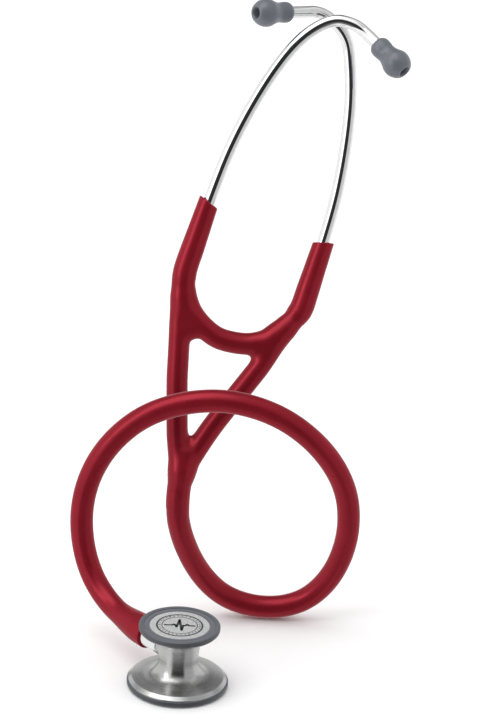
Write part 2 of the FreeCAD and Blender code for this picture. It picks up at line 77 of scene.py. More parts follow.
# Sizes that only the looks have, in millimetres and degrees
LEFT_SLEEVE_TOP_ALONG = 115.3
LEFT_SLEEVE_CUT_ANGLE = 19.0
SLEEVE_CHAMFER = 0.35
ARM_PAST_CUT = 6.0
SEAM_ALONG = 68.5
NECK_OVERLAP = 20.0
LIMB_STEP = 1.5
SKIN_STEP = 0.6
CUFF_LENGTH = 25.0
CUFF_STRAIGHT = 5.5
CUFF_LIP = 0.9
TURNED_SIDES = 192
TUBE_SIDES = 64
EARTIP_SIDES = 96
BADGE_R = 13.35
BADGE_FOOT = 29.4
BADGE_TOP = 29.55
PRINT_LIFT = 0.015
CUT_TOLERANCE = 1e-5

# The view: metres, degrees, and the lens on a frame 36 mm high
CAMERA_PLACE = (0.02103, -1.19344, 0.64783)
CAMERA_TILT_DOWN = 22.3
CAMERA_ROLL = 2.8
CAMERA_LENS = 150.5

# The room's soft light, from its back and sides and from its open front
SOFT_LIGHT = 1.35
SOFT_LIGHT_FRONT = 0.3


def on_stem(distance):
    """A point of the stem's axis, at a distance from the chestpiece's axis."""
    angle = math.radians(STEM_BEARING)
    return (-distance * math.cos(angle), distance * math.sin(angle), STEM_Z)


HOSE_ROUTE = [
    on_stem(HOSE_START),
    on_stem(41),
    (-35.5, 42, 20),
    (-43, 49.5, 29),
    (-47.5, 54, 43),
    (-48.3, 56.3, 60),
    (-44, 57, 77.5),
    (-34.5, 57, 93.5),
    (-20, 57, 106.5),
    (-1, 57, 113.7),
    (19.5, 57, 115),
    (42, 57.5, 108),
    (61, 59, 92.5),
    (73, 61.5, 72),
    (75.5, 64, 49),
    (70.5, 66.7, 27.5),
    (60, 69, 12),
    (46.5, 70, HOSE_R),
    (31, 70, HOSE_R),
    (17, 69.3, 11),
    (6, 66.8, 24),
    (-1.8, 62, 42.5),
    (-5, 57.6, 60),
    (-3.8, 59, 72),
]


def flat(across, along, depth=0.0):
    """A point in the headset's own frame; depth grows towards the back."""
    return (across, depth, along)


CROTCH = flat(0.75, -5.3, -0.6)
LEFT_LEG_LINE = [
    CROTCH,
    flat(-2.0, -0.8, -0.2),
    flat(-5.8, 7.8),
    flat(-7.7, 12.7),
    flat(-14.4, 32.2),
    flat(-17.0, 41.0),
    flat(-19.5, 49.8),
    flat(-22.1, 58.6),
    flat(-24.5, 67.4),
]
RIGHT_LEG_LINE = [
    CROTCH,
    flat(2.4, 0.6, -0.2),
    flat(5.1, 11.2),
    flat(8.4, 22.1),
    flat(17.0, 46.0),
    flat(18.9, 51.4),
    flat(20.4, 56.8),
    flat(21.8, 62.2),
    flat(23.3, 67.6),
]
BOW_LINE = [
    flat(-23.3, 70.6),
    flat(-19.35, 65.9),
    flat(-13.6, 61.7),
    flat(-6.5, 58.6),
    flat(0, 57.85),
    flat(9.5, 59.4),
    flat(16.8, 63.2),
    flat(20.9, 67.8),
    flat(23.6, 71.6),
]
LEFT_EARTUBE_ROUTE = [
    flat(LEFT_ARM_ACROSS, EARTUBE_FOOT_ALONG),
    flat(LEFT_ARM_ACROSS, 127),
    flat(-25.7, 152),
    flat(-20.4, 178.5),
    flat(-13.4, 198.5),
    flat(-2.9, 211.5, -0.4),
    flat(8.0, 213.0, -1.7),
    flat(15.8, 209.8, -4.0),
    flat(19.6, 207.8, -6.4),
]
RIGHT_EARTUBE_ROUTE = [
    flat(RIGHT_ARM_ACROSS, EARTUBE_FOOT_ALONG),
    flat(RIGHT_ARM_ACROSS, 125),
    flat(25.9, 152),
    flat(20.8, 178),
    flat(14.9, 195),
    flat(8.7, 208.4, -0.4),
    flat(-5.3, 214.8, -1.6),
    flat(-15.5, 210.6, -4.2),
    flat(-20.0, 208.6, -6.9),
]

HEADSET = (
    Matrix.Translation(YOKE_FOOT)
    @ Matrix.Rotation(math.radians(-HEADSET_LEAN_BACK), 4, "X")
    @ Matrix.Rotation(math.radians(HEADSET_LEAN_RIGHT), 4, "Y")
    @ Matrix.Rotation(math.radians(HEADSET_TURN), 4, "Z")
)


# ---------------------------------------------------------------- camera


def add_camera():
    """The view that the photograph has: from the front, a little above, slightly rolled."""
    data = bpy.data.cameras.new("view")
    data.sensor_fit = "VERTICAL"
    data.sensor_height = 36.0
    data.lens = CAMERA_LENS
    data.clip_start = 0.05
    data.clip_end = 100.0
    camera = bpy.data.objects.new("view", data)
    place = Matrix.Translation(CAMERA_PLACE)
    tilt = Matrix.Rotation(math.radians(90 - CAMERA_TILT_DOWN), 4, "X")
    roll = Matrix.Rotation(math.radians(CAMERA_ROLL), 4, "Z")
    camera.matrix_world = place @ tilt @ roll
    bpy.context.scene.collection.objects.link(camera)
    bpy.context.scene.camera = camera


add_camera()


# ---------------------------------------------------------------- mesh helpers


def add_object(name, data):
    """A new object of the scene."""
    obj = bpy.data.objects.new(name, data)
    bpy.context.scene.collection.objects.link(obj)
    return obj


def mesh_object(name, vertices, faces, sharp_angle=40.0):
    """A smooth-shaded mesh; edges that turn by more than the angle stay sharp."""
    mesh = bpy.data.meshes.new(name)
    mesh.from_pydata([tuple(v) for v in vertices], [], [tuple(f) for f in faces])
    mesh.validate()
    mesh.polygons.foreach_set("use_smooth", [True] * len(mesh.polygons))
    mesh.set_sharp_from_angle(angle=math.radians(sharp_angle))
    return add_object(name, mesh)


def nurbs_curve(name, route, scale):
    """An open smooth NURBS curve with the route's points as its control points."""
    curve = bpy.data.curves.new(name, "CURVE")
    curve.dimensions = "3D"
    curve.resolution_u = 24
    spline = curve.splines.new("NURBS")
    spline.points.add(len(route) - 1)
    for point, place in zip(spline.points, route):
        point.co = (place[0] * scale, place[1] * scale, place[2] * scale, 1)
    spline.order_u = 3
    spline.use_endpoint_u = True
    return curve


def smooth_line(route):
    """Points along the smooth NURBS line of a route, read back from an unbevelled curve."""
    curve = nurbs_curve("guide", route, 1.0)
    guide = bpy.data.objects.new("guide", curve)
    mesh = bpy.data.meshes.new_from_object(guide)
    points = np.array([v.co for v in mesh.vertices], float)
    bpy.data.meshes.remove(mesh)
    bpy.data.objects.remove(guide)
    bpy.data.curves.remove(curve)
    return points


def evenly(line, step):
    """The same line with points a fixed step apart, and how far along each one is."""
    lengths = np.concatenate([[0], np.cumsum(np.linalg.norm(np.diff(line, axis=0), axis=1))])
    count = max(2, int(round(lengths[-1] / step)) + 1)
    along = np.linspace(0, lengths[-1], count)
    points = np.stack([np.interp(along, lengths, line[:, k]) for k in range(3)], axis=1)
    return points, along


def through(points, step):
    """A smooth line that passes through the points, as points a fixed step apart."""
    points = np.array(points, float)
    points = np.concatenate([[2 * points[0] - points[1]], points, [2 * points[-1] - points[-2]]])
    line = []
    for a, b, c, d in zip(points, points[1:], points[2:], points[3:]):
        for t in np.linspace(0, 1, 12, endpoint=False):
            bend = (2 * a - 5 * b + 4 * c - d) * t**2 + (3 * b - a - 3 * c + d) * t**3
            line.append(b + ((c - a) * t + bend) / 2)
    line.append(points[-2])
    return evenly(np.array(line), step)


def unit(vector):
    """The same direction, one long."""
    return vector / np.linalg.norm(vector)


def sweep(name, line, radii, sides):
    """A round tube of changing radius along a line, closed at both ends."""
    tangents = np.gradient(line, axis=0)
    tangents /= np.linalg.norm(tangents, axis=1)[:, None]
    starts_upright = abs(tangents[0][2]) >= 0.9
    helper = np.array([0.0, 1.0, 0.0]) if starts_upright else np.array([0.0, 0.0, 1.0])
    side = unit(np.cross(tangents[0], helper))
    angles = np.linspace(0, 2 * math.pi, sides, endpoint=False)
    vertices = []
    for point, tangent, radius in zip(line, tangents, radii):
        side = unit(side - tangent * side.dot(tangent))
        other = np.cross(tangent, side)
        for angle in angles:
            spoke = side * math.cos(angle) + other * math.sin(angle)
            vertices.append(point + spoke * radius)
    faces = ring_faces(len(line), sides)
    faces.append(tuple(reversed(range(sides))))
    faces.append(tuple(range((len(line) - 1) * sides, len(line) * sides)))
    return mesh_object(name, vertices, faces)


def ring_faces(rings, sides, closed=False):
    """Quads between rings of vertices; closed joins the last ring to the first."""
    faces = []
    for i in range(rings if closed else rings - 1):
        low = i * sides
        high = ((i + 1) % rings) * sides
        for j in range(sides):
            k = (j + 1) % sides
            faces.append((low + j, low + k, high + k, high + j))
    return faces


def lathe(name, profile, sides, place=None):
    """A closed mesh turned about Z from radius and height pairs in mm, counter-clockwise."""
    angles = np.linspace(0, 2 * math.pi, sides, endpoint=False)
    vertices = [
        Vector((radius * math.cos(angle), radius * math.sin(angle), height)) * MM
        for radius, height in profile
        for angle in angles
    ]
    if place is not None:
        vertices = [place @ v for v in vertices]
    return mesh_object(name, vertices, ring_faces(len(profile), sides, closed=True))


def rounded(corners, radius, steps=4):
    """A closed profile with its corners rounded by short arcs, under half an edge long."""
    most = 0.45
    result = []
    count = len(corners)
    for i, corner in enumerate(corners):
        corner = np.array(corner, float)
        before = np.array(corners[i - 1], float) - corner
        after = np.array(corners[(i + 1) % count], float) - corner
        reach = min(radius, most * np.linalg.norm(before), most * np.linalg.norm(after))
        start = corner + unit(before) * reach
        end = corner + unit(after) * reach
        for t in np.linspace(0, 1, steps + 1):
            result.append(tuple(start * (1 - t) ** 2 + corner * 2 * t * (1 - t) + end * t**2))
    return result


# ---------------------------------------------------------------- materials


def new_material(name):
    """An empty node material with its surface shader and a coordinate node."""
    material = bpy.data.materials.new(name)
    material.use_nodes = True
    nodes = material.node_tree.nodes
    shader = nodes["Principled BSDF"]
    coordinates = nodes.new("ShaderNodeTexCoord")
    return material, material.node_tree, shader, coordinates.outputs["Object"]


def noise(tree, vector, scale, detail=3.0, roughness=0.5):
    """Smooth noise about a half, with so many cells to the metre."""
    node = tree.nodes.new("ShaderNodeTexNoise")
    node.inputs["Scale"].default_value = scale
    node.inputs["Detail"].default_value = detail
    node.inputs["Roughness"].default_value = roughness
    tree.links.new(vector, node.inputs["Vector"])
    return node.outputs["Fac"]


def ranged(tree, value, low, high, from_low=0.3, from_high=0.7):
    """Maps a value, by default a noise value, to a range of numbers."""
    node = tree.nodes.new("ShaderNodeMapRange")
    node.inputs["From Min"].default_value = from_low
    node.inputs["From Max"].default_value = from_high
    node.inputs["To Min"].default_value = low
    node.inputs["To Max"].default_value = high
    tree.links.new(value, node.inputs["Value"])
    return node.outputs["Result"]


def step_up(tree, value, low, high, to_low=0.0, to_high=1.0):
    """A soft step from one number to another as the value passes from low to high."""
    step = ranged(tree, value, to_low, to_high, low, high)
    step.node.interpolation_type = "SMOOTHSTEP"
    return step


def maths(tree, operation, first, second=0.0):
    """One arithmetic node; each input is a number or a socket."""
    node = tree.nodes.new("ShaderNodeMath")
    node.operation = operation
    for socket, value in zip(node.inputs, (first, second)):
        if isinstance(value, (int, float)):
            socket.default_value = value
        else:
            tree.links.new(value, socket)
    return node.outputs["Value"]


def two_colours(tree, value, first, second, low=0.35, high=0.65):
    """A colour between two, as the value passes from low to high."""
    node = tree.nodes.new("ShaderNodeValToRGB")
    node.color_ramp.elements[0].position = low
    node.color_ramp.elements[0].color = (*first, 1)
    node.color_ramp.elements[1].position = high
    node.color_ramp.elements[1].color = (*second, 1)
    tree.links.new(value, node.inputs["Fac"])
    return node.outputs["Color"]


def add_bump(tree, shader, height, distance, strength):
    """Small relief that follows a height; the distance is in metres."""
    node = tree.nodes.new("ShaderNodeBump")
    node.inputs["Distance"].default_value = distance
    node.inputs["Strength"].default_value = strength
    tree.links.new(height, node.inputs["Height"])
    tree.links.new(node.outputs["Normal"], shader.inputs["Normal"])


def moulded(name, first, second, rough, grain, bump):
    """Moulded rubber or vinyl: a cloudy colour, a varying gloss and a fine pebbled skin."""
    material, tree, shader, vector = new_material(name)
    clouds = noise(tree, vector, 70.0)
    tree.links.new(two_colours(tree, clouds, first, second), shader.inputs["Base Color"])
    patches = noise(tree, vector, 160.0)
    tree.links.new(ranged(tree, patches, rough - 0.03, rough + 0.03), shader.inputs["Roughness"])
    add_bump(tree, shader, noise(tree, vector, grain, 2.0), 0.00005, bump)
    return material


def pearly(material, sheen):
    """Swaps the clear gloss for a coloured sheen, as the pigment of a deep vinyl gives."""
    tree = material.node_tree
    shader = tree.nodes["Principled BSDF"]
    shader.inputs["Specular IOR Level"].default_value = 0.05
    gloss = tree.nodes.new("ShaderNodeBsdfAnisotropic")
    gloss.inputs["Color"].default_value = (*sheen, 1)
    for name in ("Roughness", "Normal"):
        tree.links.new(shader.inputs[name].links[0].from_socket, gloss.inputs[name])
    both = tree.nodes.new("ShaderNodeAddShader")
    tree.links.new(shader.outputs["BSDF"], both.inputs[0])
    tree.links.new(gloss.outputs["BSDF"], both.inputs[1])
    tree.links.new(both.outputs["Shader"], tree.nodes["Material Output"].inputs["Surface"])


def length_of(tree, vector):
    """The length of a vector socket."""
    node = tree.nodes.new("ShaderNodeVectorMath")
    node.operation = "LENGTH"
    tree.links.new(vector, node.inputs[0])
    return node.outputs["Value"]


def turned_coordinates(tree, vector, fineness, drift):
    """Radius, height and angle about Z, stretched so that noise follows turning marks."""
    split = tree.nodes.new("ShaderNodeSeparateXYZ")
    tree.links.new(vector, split.inputs["Vector"])
    flat_part = tree.nodes.new("ShaderNodeCombineXYZ")
    tree.links.new(split.outputs["X"], flat_part.inputs["X"])
    tree.links.new(split.outputs["Y"], flat_part.inputs["Y"])
    radius = length_of(tree, flat_part.outputs["Vector"])
    angle = maths(tree, "ARCTAN2", split.outputs["Y"], split.outputs["X"])
    joined = tree.nodes.new("ShaderNodeCombineXYZ")
    for source, target, scale in (
        (radius, "X", fineness),
        (split.outputs["Z"], "Y", fineness),
        (angle, "Z", drift),
    ):
        tree.links.new(maths(tree, "MULTIPLY", source, scale), joined.inputs[target])
    return joined.outputs["Vector"]


def turned_steel(name, rough, fineness, bump):
    """Steel with fine turning marks round its axis."""
    material, tree, shader, vector = new_material(name)
    marks = noise(tree, turned_coordinates(tree, vector, fineness, 0.6), 1.0, 4.0)
    colour = two_colours(tree, marks, (0.40, 0.40, 0.40), (0.54, 0.54, 0.535), 0.3, 0.7)
    tree.links.new(colour, shader.inputs["Base Color"])
    tree.links.new(ranged(tree, marks, rough - 0.06, rough + 0.06), shader.inputs["Roughness"])
    shader.inputs["Metallic"].default_value = 1.0
    shader.inputs["Anisotropic"].default_value = 0.7
    shader.inputs["Anisotropic Rotation"].default_value = 0.25
    tangent = tree.nodes.new("ShaderNodeTangent")
    tangent.direction_type = "RADIAL"
    tangent.axis = "Z"
    tree.links.new(tangent.outputs["Tangent"], shader.inputs["Tangent"])
    add_bump(tree, shader, marks, 0.00002, bump)
    return material


def polished_metal(name, shade, rough):
    """Polished metal with faint wiping marks."""
    material, tree, shader, vector = new_material(name)
    marks = noise(tree, vector, 420.0, 4.0)
    wiped = 0.93
    low = tuple(wiped * s for s in shade)
    tree.links.new(two_colours(tree, marks, low, shade), shader.inputs["Base Color"])
    tree.links.new(ranged(tree, marks, rough * 0.7, rough * 1.4), shader.inputs["Roughness"])
    shader.inputs["Metallic"].default_value = 1.0
    return material


def speckled_foil(name):
    """Silver label foil with a fine sparkling grain."""
    material, tree, shader, vector = new_material(name)
    grain = noise(tree, vector, 2800.0, 2.0, 0.7)
    colour = two_colours(tree, grain, (0.42, 0.43, 0.44), (0.80, 0.80, 0.80), 0.35, 0.62)
    tree.links.new(colour, shader.inputs["Base Color"])
    tree.links.new(ranged(tree, grain, 0.35, 0.6), shader.inputs["Roughness"])
    shader.inputs["Metallic"].default_value = 0.6
    add_bump(tree, shader, grain, 0.00003, 0.4)
    return material


VINYL = moulded("burgundy_vinyl", (0.140, 0.0050, 0.0100), (0.160, 0.0062, 0.0125), 0.30, 1500, 0.08)
pearly(VINYL, sheen=(0.122, 0.0100, 0.0160))
RIM_RUBBER = moulded("rim_rubber", (0.085, 0.092, 0.108), (0.100, 0.108, 0.125), 0.42, 2200, 0.25)
# the rim rubber made darker for the rims' walls: painted shade
RIM_PAINTED_SHADE = moulded("rim_wall_painted_shade", (0.045, 0.048, 0.055), (0.058, 0.062, 0.070), 0.45, 2200, 0.25)
WASHER_RUBBER = moulded("rim_washer", (0.100, 0.108, 0.125), (0.115, 0.124, 0.143), 0.36, 2200, 0.25)
SILICONE = moulded("eartip_silicone", (0.110, 0.122, 0.144), (0.128, 0.141, 0.163), 0.30, 1900, 0.20)
SEAL = moulded("seal_rubber", (0.012, 0.012, 0.012), (0.020, 0.020, 0.020), 0.5, 3000, 0.3)
RESIN = moulded("diaphragm_resin", (0.62, 0.61, 0.56), (0.68, 0.67, 0.62), 0.28, 2600, 0.15)
PRINT = moulded("dark_print", (0.018, 0.019, 0.021), (0.026, 0.027, 0.030), 0.35, 5000, 0.2)
STEEL = turned_steel("brushed_steel", 0.26, 9000.0, 0.25)
POLISHED = polished_metal("polished_steel", (0.80, 0.80, 0.81), 0.10)
SPRING_STEEL = polished_metal("spring_steel", (0.42, 0.43, 0.45), 0.25)
TUBE_METAL = polished_metal("tube_metal", (0.88, 0.88, 0.885), 0.06)
FOIL = speckled_foil("badge_foil")


def paint(obj, material):
    """Gives the whole object one material."""
    obj.data.materials.clear()
    obj.data.materials.append(material)


def place_piece(obj, body, slot, material, *nodes):
    """Paints a piece, lets it ride on its body and hides the CAD nodes it stands for."""
    paint(obj, material)
    # the steel mirrors the pale room, and not the red hose and yoke beside it
    obj.visible_glossy = material is not VINYL
    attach(obj, body)
    if nodes:
        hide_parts(*nodes)
    return obj


# ---------------------------------------------------------------- hose and cuff


def add_hose():
    """The hose as one cord, from inside the cuff to the yoke."""
    curve = nurbs_curve("hose", HOSE_ROUTE, MM)
    curve.bevel_depth = HOSE_R * MM
    curve.bevel_resolution = 12
    curve.use_fill_caps = True
    hose = add_object("hose", curve)
    place_piece(hose, ROOT, "burgundy_vinyl", VINYL, "acoustic_hose")


def add_cuff():
    """The hose's swollen end: a blunt lip on the collar, then a long taper into the hose."""
    proud = 0.01
    tucked_in = 0.1
    line = np.concatenate([[on_stem(COLLAR_END)], smooth_line(HOSE_ROUTE)])
    points, along = evenly(line, 0.25)
    on_cuff = along < CUFF_LENGTH
    points = points[on_cuff]
    along = along[on_cuff]
    fade = np.clip((along - CUFF_STRAIGHT) / (CUFF_LENGTH - CUFF_STRAIGHT), 0, 1)
    fade = fade * fade * (3 - 2 * fade)
    radii = CUFF_R + (HOSE_R + proud - CUFF_R) * fade
    near = along < CUFF_LIP
    radii[near] -= CUFF_LIP - np.sqrt(CUFF_LIP**2 - (CUFF_LIP - along[near]) ** 2)
    radii[-1] = HOSE_R - tucked_in
    cuff = sweep("cuff", points * MM, radii * MM, TUBE_SIDES)
    place_piece(cuff, ROOT, "burgundy_vinyl", VINYL, "hose_cuff")


add_hose()
add_cuff()


# ---------------------------------------------------------------- yoke and arms


def arm_tilt(side):
    """Leans an arm's points about its pivot, in the headset's own frame."""
    pivot = Vector(flat(side * PIVOT_ACROSS, PIVOT_ALONG))
    lean = Matrix.Rotation(math.radians(-side * ARM_RAKE), 4, "X")
    return Matrix.Translation(pivot) @ lean @ Matrix.Translation(-pivot)


def leg_and_arm(side):
    """Centre line and radii of a leg that runs on into its arm."""
    leg = LEFT_LEG_LINE if side < 0 else RIGHT_LEG_LINE
    tilt = arm_tilt(side)
    if side < 0:
        arm = [flat(-25.9, 73.5), flat(-27.2, 79.5), flat(LEFT_ARM_ACROSS, 84.5)]
        arm.append(flat(LEFT_ARM_ACROSS, 95))
        arm.append(flat(LEFT_ARM_ACROSS, LEFT_SLEEVE_TOP_ALONG + ARM_PAST_CUT))
        heights = [-6, 0, 60, 67, 73.5, 79.5, 84, 92, 100, 116.6]
        radii = [5.1, 4.9, 4.85, 4.9, 5.2, 5.5, 5.45, 5.4, 5.15, 4.7]
    else:
        arm = [flat(25.5, 73.5), flat(27.7, 79.5), flat(RIGHT_ARM_ACROSS, 84)]
        arm.append(flat(RIGHT_ARM_ACROSS, 95))
        arm.append(flat(RIGHT_ARM_ACROSS, RIGHT_SLEEVE_TOP_ALONG + ARM_PAST_CUT))
        heights = [-6, 0, 60, 66, 73, 77, 80, 84, 92, 100, 116.6]
        radii = [5.1, 4.9, 4.85, 4.65, 4.55, 4.9, 5.5, 5.5, 5.35, 5.1, 4.7]
    line, _ = through(leg + [tuple(tilt @ Vector(point)) for point in arm], LIMB_STEP)
    return line, np.interp(line[:, 2], heights, radii)


def bow_limb():
    """Centre line and radii of the bow between the legs, a little thinner at its ends."""
    line, along = through(BOW_LINE, LIMB_STEP)
    return line, np.interp(along, [0, 4, along[-1] - 4, along[-1]], [4.4, 5.0, 5.0, 4.4])


def neck_limb():
    """A skin over the end of the hose, which runs up into the crotch and a little past it."""
    inverse = HEADSET.inverted()
    hose, along = evenly(smooth_line(HOSE_ROUTE), 1.0)
    last = hose[along > along[-1] - NECK_OVERLAP]
    end = [np.array(inverse @ Vector(point)) for point in last]
    line, along = evenly(np.array(end + [np.array(CROTCH), np.array(flat(-0.4, 2.6))]), 1.0)
    places = [0, 3, 9, NECK_OVERLAP, NECK_OVERLAP + 5, along[-1]]
    return line, np.interp(along, places, [5.1, 5.27, 5.45, 5.5, 5.2, 5.0])


def web_limb():
    """A small filler that widens the fillet where the bow leaves the left leg."""
    line, _ = evenly(np.array([flat(-18.0, 57.0), flat(-16.1, 58.2)]), 1.0)
    return line, np.full(len(line), 4.5)


# The limbs in the order in which they melt together, and the width of each one's fillet
LIMBS = [leg_and_arm(-1), leg_and_arm(1), bow_limb(), neck_limb(), web_limb()]
BLENDS = [0.0, 4.2, 4.6, 3.0, 3.0]
FAR = 1e3


def distance_to_limb(points, limb):
    """Signed distance of points to a chain of round cones."""
    line, radii = limb
    best = np.full(len(points), FAR)
    for a, b, ra, rb in zip(line[:-1], line[1:], radii[:-1], radii[1:]):
        run = b - a
        t = np.clip((points - a) @ run / run.dot(run), 0, 1)
        gap = np.linalg.norm(points - a - t[:, None] * run, axis=1) - (ra + t * (rb - ra))
        np.minimum(best, gap, out=best)
    return best


def distance_to_yoke(points):
    """The limbs melted together, with a fillet where they meet."""
    result = None
    for limb, blend in zip(LIMBS, BLENDS):
        distance = distance_to_limb(points, limb)
        if result is None:
            result = distance
            continue
        mix = np.maximum(blend - np.abs(result - distance), 0) / blend
        result = np.minimum(result, distance) - mix * mix * blend / 4
    return result


def slope_of_yoke(points):
    """Outward unit normals of the yoke's surface."""
    reach = 0.02
    slope = []
    for shift in np.eye(3) * reach:
        slope.append(distance_to_yoke(points + shift) - distance_to_yoke(points - shift))
    slope = np.stack(slope, axis=1)
    return slope / np.linalg.norm(slope, axis=1)[:, None]


def surface_net(field, low, step):
    """Quads over the zero level of a sampled field: one vertex for each cell it crosses."""
    inside = field < 0
    cells = tuple(n - 1 for n in field.shape)
    total = np.zeros((3, *cells))
    count = np.zeros(cells)
    crossings = []
    for axis in range(3):
        lower = np.moveaxis(field, axis, 0)[:-1]
        upper = np.moveaxis(field, axis, 0)[1:]
        crossing = (lower < 0) != (upper < 0)
        share = np.where(crossing, lower / np.where(crossing, lower - upper, 1), 0)
        crossing = np.moveaxis(crossing, 0, axis)
        share = np.moveaxis(share, 0, axis)
        crossings.append(crossing)
        others = [k for k in range(3) if k != axis]
        for first in (0, 1):
            for second in (0, 1):
                window = [slice(None)] * 3
                window[others[0]] = slice(first, cells[others[0]] + first)
                window[others[1]] = slice(second, cells[others[1]] + second)
                window = tuple(window)
                hit = crossing[window]
                count += hit
                total[axis] += share[window]
                total[others[0]] += hit * first
                total[others[1]] += hit * second
    active = count > 0
    index = np.full(cells, -1)
    index[active] = np.arange(active.sum())
    corner = np.argwhere(active)
    vertices = low + step * (corner + total[:, active].T / count[active][:, None])
    faces = []
    for axis in range(3):
        order = (axis, (axis + 1) % 3, (axis + 2) % 3)
        crossing = np.transpose(crossings[axis], order)[:, 1:-1, 1:-1]
        starts_inside = np.transpose(inside, order)[:-1, 1:-1, 1:-1]
        table = np.transpose(index, order)
        quads = np.stack(
            [table[:, :-1, :-1], table[:, 1:, :-1], table[:, 1:, 1:], table[:, :-1, 1:]], axis=-1
        )
        faces.append(quads[crossing & starts_inside])
        faces.append(quads[crossing & ~starts_inside][:, ::-1])
    return vertices, np.concatenate(faces)


def yoke_skin():
    """Vertices and quads of the whole yoke with its arms, in the headset's own frame, mm."""
    low = np.array([-38.0, -11.0, -24.0])
    high = np.array([38.0, 11.0, LEFT_SLEEVE_TOP_ALONG + 5])
    axes = [np.arange(low[k], high[k], SKIN_STEP) for k in range(3)]
    shape = tuple(len(a) for a in axes)
    grid = np.stack(np.meshgrid(*axes, indexing="ij"), axis=-1).reshape(-1, 3)
    # the distance is worked out only in boxes round short runs of the limbs
    field = np.full(len(grid), FAR)
    near = np.zeros(len(grid), bool)
    run = 6
    margin = 4
    for line, radii in LIMBS:
        for start in range(0, len(line), run):
            part = line[start:start + run + 1]
            reach = radii[start:start + run + 1].max() + margin
            box = (grid > part.min(axis=0) - reach) & (grid < part.max(axis=0) + reach)
            near |= box.all(axis=1)
    field[near] = distance_to_yoke(grid[near])
    vertices, faces = surface_net(field.reshape(shape), low, SKIN_STEP)
    passes = 3
    for _ in range(passes):
        vertices -= slope_of_yoke(vertices) * distance_to_yoke(vertices)[:, None]
    return vertices, faces


def cut_plane(side):
    """Point and normal of the slanted end of an arm's sleeve."""
    tilt = arm_tilt(side)
    if side < 0:
        top = flat(LEFT_ARM_ACROSS, LEFT_SLEEVE_TOP_ALONG)
        angle = LEFT_SLEEVE_CUT_ANGLE
    else:
        top = flat(RIGHT_ARM_ACROSS, RIGHT_SLEEVE_TOP_ALONG)
        angle = RIGHT_SLEEVE_CUT_ANGLE
    point = tilt @ Vector(top)
    slant = Matrix.Rotation(math.radians(-side * angle), 3, "Y")
    return point, (tilt.to_3x3() @ slant @ Vector((0, 0, 1))).normalized()


def finish_sleeve(bm, side):
    """Cuts the sleeve's end on the slant, with a small chamfer and a flat face."""
    point, normal = cut_plane(side)
    cut = bmesh.ops.bisect_plane(
        bm, geom=bm.verts[:] + bm.edges[:] + bm.faces[:], dist=CUT_TOLERANCE,
        plane_co=point - normal * SLEEVE_CHAMFER, plane_no=normal, clear_outer=True,
    )
    rim = [e for e in cut["geom_cut"] if isinstance(e, bmesh.types.BMEdge)]
    middle = sum((v.co for e in rim for v in e.verts), Vector()) / (2 * len(rim))
    raised = bmesh.ops.extrude_edge_only(bm, edges=rim)["geom"]
    for vert in [v for v in raised if isinstance(v, bmesh.types.BMVert)]:
        inward = (middle - vert.co).normalized()
        vert.co += normal * SLEEVE_CHAMFER + inward * SLEEVE_CHAMFER
    edges = [e for e in raised if isinstance(e, bmesh.types.BMEdge) and e.is_boundary]
    bmesh.ops.contextual_create(bm, geom=edges)
    bmesh.ops.recalc_face_normals(bm, faces=bm.faces[:])


def yoke_piece(name, vertices, faces, side):
    """One part of the yoke's skin: the centre (side 0) or the arm of one side (-1 or 1)."""
    bm = bmesh.new()
    corners = [bm.verts.new(v) for v in vertices]
    for face in faces:
        bm.faces.new([corners[k] for k in face])
    # the seam lies across both legs just below the bends, and the middle of the bow is below it
    bmesh.ops.bisect_plane(
        bm, geom=bm.verts[:] + bm.edges[:] + bm.faces[:], dist=CUT_TOLERANCE,
        plane_co=(0, 0, SEAM_ALONG), plane_no=(0, 0, 1),
        clear_inner=side != 0, clear_outer=side == 0,
    )
    if side:
        away = [v for v in bm.verts if v.co.x * side < 0]
        bmesh.ops.delete(bm, geom=away, context="VERTS")
        finish_sleeve(bm, side)
    mesh = bpy.data.meshes.new(name)
    bm.to_mesh(mesh)
    bm.free()
    set_yoke_normals(mesh, side)
    mesh.transform(Matrix.Scale(MM, 4) @ HEADSET)
    return add_object(name, mesh)


def set_yoke_normals(mesh, side):
    """Shades the skin by its true slope, so that no seam shows; the cut end stays flat."""
    near_plane = 0.3
    points = np.array([v.co for v in mesh.vertices])
    slopes = slope_of_yoke(points)
    mesh.polygons.foreach_set("use_smooth", [True] * len(mesh.polygons))
    point, normal = cut_plane(side) if side else (None, None)
    normals = []
    for polygon in mesh.polygons:
        flat_face = side != 0 and abs((polygon.center - point).dot(normal)) < near_plane
        for vertex in polygon.vertices:
            normals.append(tuple(polygon.normal) if flat_face else tuple(slopes[vertex]))
    mesh.normals_split_custom_set(normals)


def add_yoke():
    """The yoke's centre, and an arm on each side cut from the same skin; the arms are painted and
    fixed in place.
    """
    vertices, faces = yoke_skin()
    centre = yoke_piece("yoke", vertices, faces, 0)
    place_piece(centre, ROOT, "burgundy_vinyl", VINYL, "yoke_body")
    for side, name in SIDES:
        arm = yoke_piece("arm_" + name, vertices, faces, side)
        paint(arm, VINYL)
        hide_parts("arm_sleeve_" + name)
        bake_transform(arm)


add_yoke()


# ---------------------------------------------------------------- ear tubes and ear tips


def eartube_route(side):
    """Control points of one ear tube, in the headset's own frame."""
    return LEFT_EARTUBE_ROUTE if side < 0 else RIGHT_EARTUBE_ROUTE


def tip_direction(side):
    """The direction in which an ear tube ends."""
    route = eartube_route(side)
    return (Vector(route[-1]) - Vector(route[-2])).normalized()


